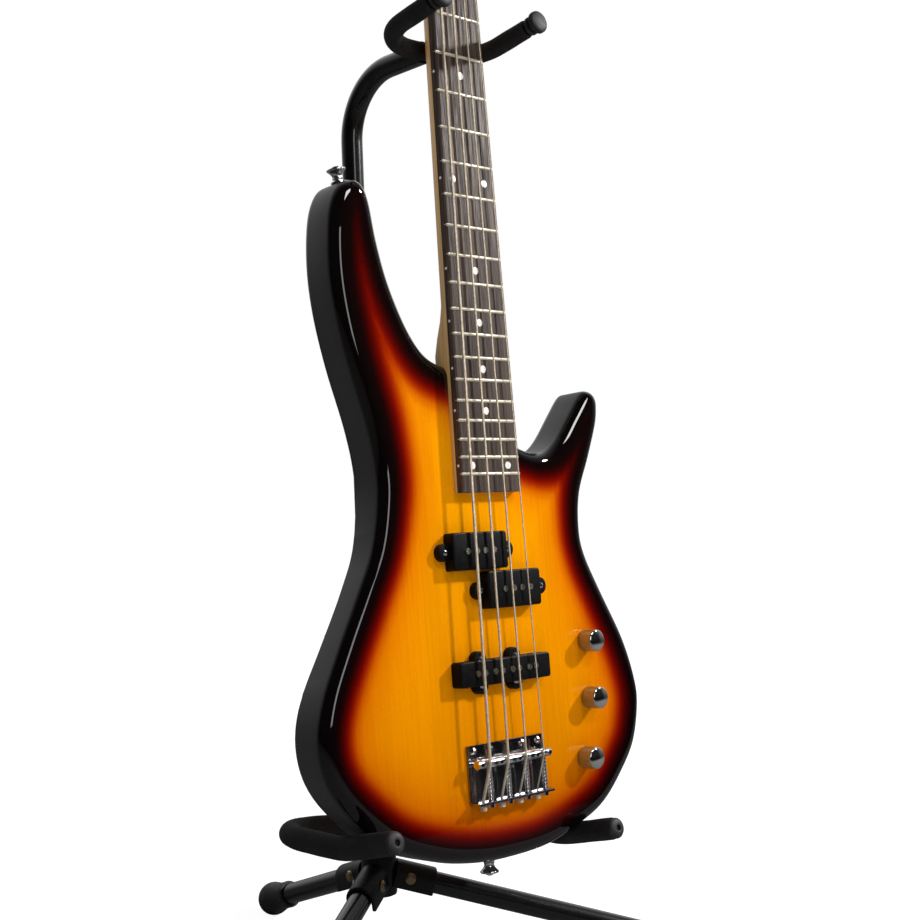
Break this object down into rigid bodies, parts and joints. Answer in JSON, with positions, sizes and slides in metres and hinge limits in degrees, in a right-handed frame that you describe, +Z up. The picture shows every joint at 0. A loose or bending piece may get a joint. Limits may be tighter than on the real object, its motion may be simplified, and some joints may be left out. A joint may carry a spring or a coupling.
{
  "type": "guitar on stand",
  "caption": "Solid-body electric bass guitar with a sunburst finish resting on a folding black tripod stand with a padded cradle and neck yoke.",
  "frame": {"origin": "middle of the part's bounding box in X and Y, on the floor that the feet stand on", "axes": "+Z up, -Y to the front, the way the guitar's strings face, +X to the guitar's treble side, to the right seen from the front"},
  "size_m": [0.51, 0.331, 1.248],
  "materials": {
    "sunburst": "gloss",
    "maple": "satin",
    "rosewood": "satin",
    "ivory": "gloss",
    "nickel": "satin",
    "chrome": "mirror",
    "steel": "satin",
    "pickup_black": "satin",
    "wire": "matte",
    "black_paint": "gloss",
    "hub_black": "satin",
    "foam": "matte",
    "black_rubber": "matte",
    "rivet": "satin"
  },
  "bodies": {
    "stand": {"hub": "hub_black", "hub_pins": "rivet", "lower_tube": "black_paint", "cradle_frame": "black_paint", "cradle_foam": "foam", "cradle_caps": "black_rubber", "height_clamp": "hub_black"},
    "leg_left_body": {"leg_left": "black_paint", "foot_left": "black_rubber"},
    "leg_right_body": {"leg_right": "black_paint", "foot_right": "black_rubber"},
    "leg_rear_body": {"leg_rear": "black_paint", "foot_rear": "black_rubber"},
    "clamp_knob_body": {"clamp_knob": "hub_black"},
    "upper_post": {"upper_tube": "black_paint", "yoke_frame": "black_paint", "yoke_foam": "foam", "yoke_caps": "black_rubber"},
    "key_e": {"tuner_key_e": "chrome"},
    "post_e": {"tuner_post_e": "chrome"},
    "key_a": {"tuner_key_a": "chrome"},
    "post_a": {"tuner_post_a": "chrome"},
    "key_d": {"tuner_key_d": "chrome"},
    "post_d": {"tuner_post_d": "chrome"},
    "key_g": {"tuner_key_g": "chrome"},
    "post_g": {"tuner_post_g": "chrome"},
    "neck_volume_knob_body": {"neck_volume_knob": "chrome"},
    "bridge_volume_knob_body": {"bridge_volume_knob": "chrome"},
    "tone_knob_body": {"tone_knob": "chrome"},
    "guitar": {"body_core": "sunburst", "bass_wing": "sunburst", "treble_wing": "sunburst", "neck_heel": "maple", "neck": "maple", "headstock": "maple", "fingerboard": "rosewood", "frets": "nickel", "inlay_dots": "ivory", "nut": "ivory", "truss_rod": "steel", "string_tree": "chrome", "neck_plate": "chrome", "split_pickup": "pickup_black", "bridge_pickup": "pickup_black", "pole_pieces": "nickel", "bridge_plate": "chrome", "saddles": "chrome", "saddle_screws": "chrome", "string_e": "nickel", "string_a": "nickel", "string_d": "nickel", "string_g": "nickel", "potentiometers": "steel", "output_jack": "steel", "jack_plate": "chrome", "cavity_cover": "pickup_black", "wood_screws": "chrome", "wiring": "wire", "strap_buttons": "chrome", "tuner_plates": "chrome"}
  },
  "joints": [
    {"name": "leg_left_fold", "type": "hinge", "parent": "stand", "child": "leg_left_body", "pos_m": [-0.02079, -0.00812, 0.07767], "axis": [0.5, -0.8576, 0.1205], "range_deg": [0, 72]},
    {"name": "leg_right_fold", "type": "hinge", "parent": "stand", "child": "leg_right_body", "pos_m": [0.02079, -0.00812, 0.07767], "axis": [0.5, 0.8576, -0.1205], "range_deg": [0, 72]},
    {"name": "leg_rear_fold", "type": "hinge", "parent": "stand", "child": "leg_rear_body", "pos_m": [0, 0.02753, 0.07266], "axis": [-1, 0, 0], "range_deg": [0, 72]},
    {"name": "clamp_knob_turn", "type": "hinge", "parent": "stand", "child": "clamp_knob_body", "pos_m": [0, 0.06075, 0.26592], "axis": [0, 0.9903, -0.1392], "range_deg": [0, 360]},
    {"name": "height_slide", "type": "slide", "parent": "stand", "child": "upper_post", "axis": [0, 0.1392, 0.9903], "range_m": [-0.1, 0]},
    {"name": "guitar_lift", "type": "slide", "parent": "stand", "child": "guitar", "axis": [0, 0, 1], "range_m": [0, 0.1]},
    {"name": "neck_volume_knob_turn", "type": "hinge", "parent": "guitar", "child": "neck_volume_knob_body", "pos_m": [0.107, -0.11111, 0.28622], "axis": [0, -0.9816, 0.1908], "range_deg": [-140, 140]},
    {"name": "bridge_volume_knob_turn", "type": "hinge", "parent": "guitar", "child": "bridge_volume_knob_body", "pos_m": [0.106, -0.11979, 0.24156], "axis": [0, -0.9816, 0.1908], "range_deg": [-140, 140]},
    {"name": "tone_knob_turn", "type": "hinge", "parent": "guitar", "child": "tone_knob_body", "pos_m": [0.096, -0.12867, 0.19591], "axis": [0, -0.9816, 0.1908], "range_deg": [-140, 140]},
    {"name": "key_e_turn", "type": "hinge", "parent": "guitar", "child": "key_e", "pos_m": [-0.018, 0.07229, 1.1176], "axis": [-1, 0, 0], "continuous": true},
    {"name": "post_e_turn", "type": "hinge", "parent": "guitar", "child": "post_e", "pos_m": [-0.018, 0.04879, 1.10883], "axis": [0, -0.9816, 0.1908], "continuous": true},
    {"name": "key_a_turn", "type": "hinge", "parent": "guitar", "child": "key_a", "pos_m": [-0.018, 0.08603, 1.18828], "axis": [-1, 0, 0], "continuous": true},
    {"name": "post_a_turn", "type": "hinge", "parent": "guitar", "child": "post_a", "pos_m": [-0.018, 0.06252, 1.1795], "axis": [0, -0.9816, 0.1908], "continuous": true},
    {"name": "key_d_turn", "type": "hinge", "parent": "guitar", "child": "key_d", "pos_m": [0.034, 0.08603, 1.18828], "axis": [1, 0, 0], "continuous": true},
    {"name": "post_d_turn", "type": "hinge", "parent": "guitar", "child": "post_d", "pos_m": [0.034, 0.06252, 1.1795], "axis": [0, -0.9816, 0.1908], "continuous": true},
    {"name": "key_g_turn", "type": "hinge", "parent": "guitar", "child": "key_g", "pos_m": [0.034, 0.07229, 1.1176], "axis": [1, 0, 0], "continuous": true},
    {"name": "post_g_turn", "type": "hinge", "parent": "guitar", "child": "post_g", "pos_m": [0.034, 0.04879, 1.10883], "axis": [0, -0.9816, 0.1908], "continuous": true}
  ],
  "couplings": [
    {"joint": "post_e_turn", "follows": "key_e_turn", "ratio": -0.071429},
    {"joint": "post_a_turn", "follows": "key_a_turn", "ratio": -0.071429},
    {"joint": "post_d_turn", "follows": "key_d_turn", "ratio": 0.071429},
    {"joint": "post_g_turn", "follows": "key_g_turn", "ratio": 0.071429}
  ]
}
